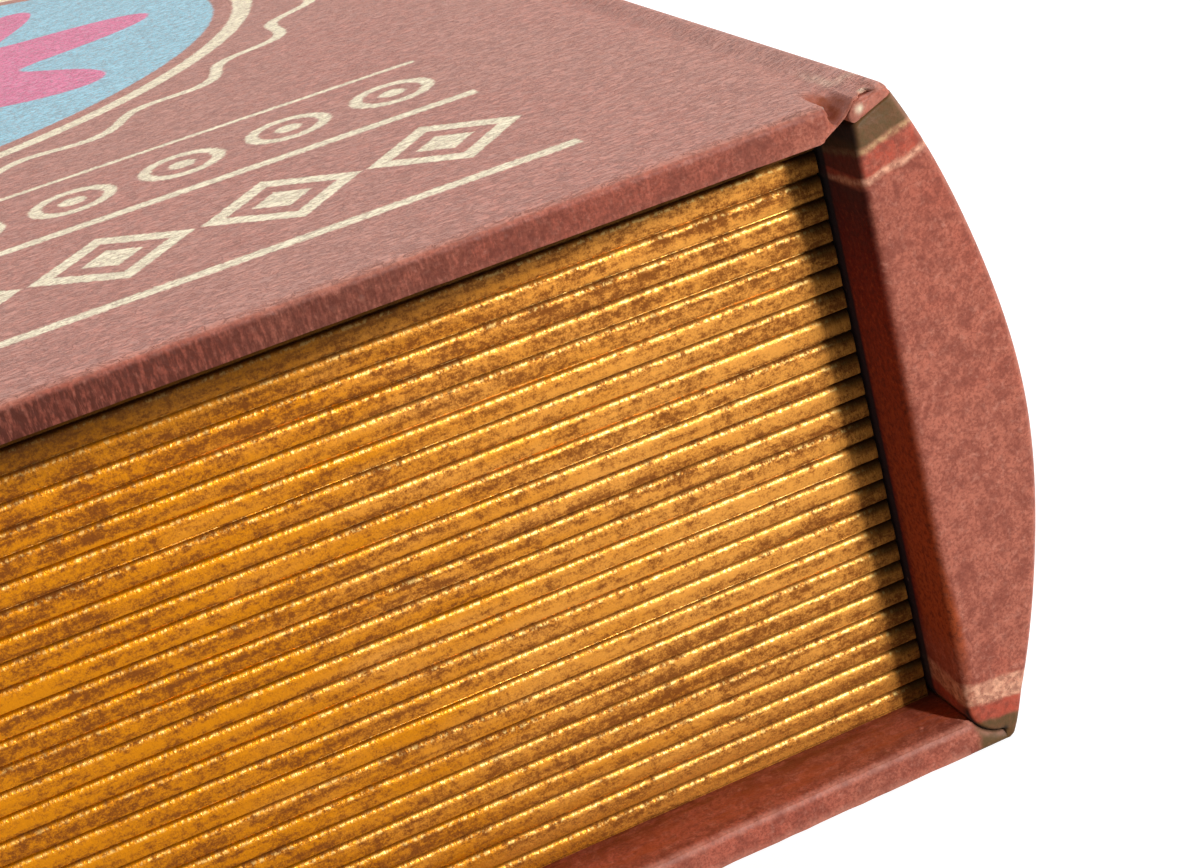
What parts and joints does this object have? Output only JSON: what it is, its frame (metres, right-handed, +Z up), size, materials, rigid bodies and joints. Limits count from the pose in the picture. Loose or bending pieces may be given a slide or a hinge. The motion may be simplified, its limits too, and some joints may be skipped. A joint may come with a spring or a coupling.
{
  "type": "book box",
  "caption": "Keepsake box shaped like a thick hardback book: ribbed gold page edges, rounded spine and a front cover that opens as the lid.",
  "frame": {"origin": "middle of the closed box's underside, on the surface that it lies on", "axes": "+X to the spine, +Y to the tail, +Z up through the closed lid"},
  "size_m": [0.1708, 0.245, 0.0704],
  "materials": {
    "printed_wrap": "printed leather-look sheet, fine pebble grain, satin, mauve brown with reddish patches",
    "joint_wrap": "the same sheet where it folds, creased and a little darker",
    "spine_wrap": "the same sheet with olive, cream and red stripes along both joints",
    "gold_pages": "satin gold foil over ribs, printed with brown speckle",
    "gold_paper": "satin gold paper",
    "lining_paper": "matte brown lining paper with a fine fibre",
    "grey_board": "raw grey board",
    "fibreboard": "raw fibreboard"
  },
  "bodies": {
    "box": {"back_cover_board": "grey_board", "back_cover_wrap": "printed_wrap", "back_joint_wrap": "joint_wrap", "spine_block": "fibreboard", "spine_wrap": "spine_wrap", "tray_floor": "grey_board", "head_wall": "fibreboard", "tail_wall": "fibreboard", "fore_edge_wall": "fibreboard", "spine_wall": "fibreboard", "head_page_ribs": "gold_pages", "tail_page_ribs": "gold_pages", "fore_edge_page_ribs": "gold_pages", "rim_paper": "gold_paper", "floor_lining": "lining_paper", "head_lining": "lining_paper", "tail_lining": "lining_paper", "fore_edge_lining": "lining_paper", "spine_lining": "lining_paper", "front_joint_wrap": "joint_wrap", "joint_lining": "joint_wrap"},
    "front_cover": {"front_cover_board": "grey_board", "front_cover_wrap": "printed_wrap", "front_cover_lining": "lining_paper"}
  },
  "joints": [
    {"name": "front_cover_hinge", "type": "hinge", "parent": "box", "child": "front_cover", "pos_m": [0.07485, 0, 0.0697], "axis": [0, 1, 0], "range_deg": [0, 180], "deforming": ["front_joint_wrap", "joint_lining"]}
  ]
}
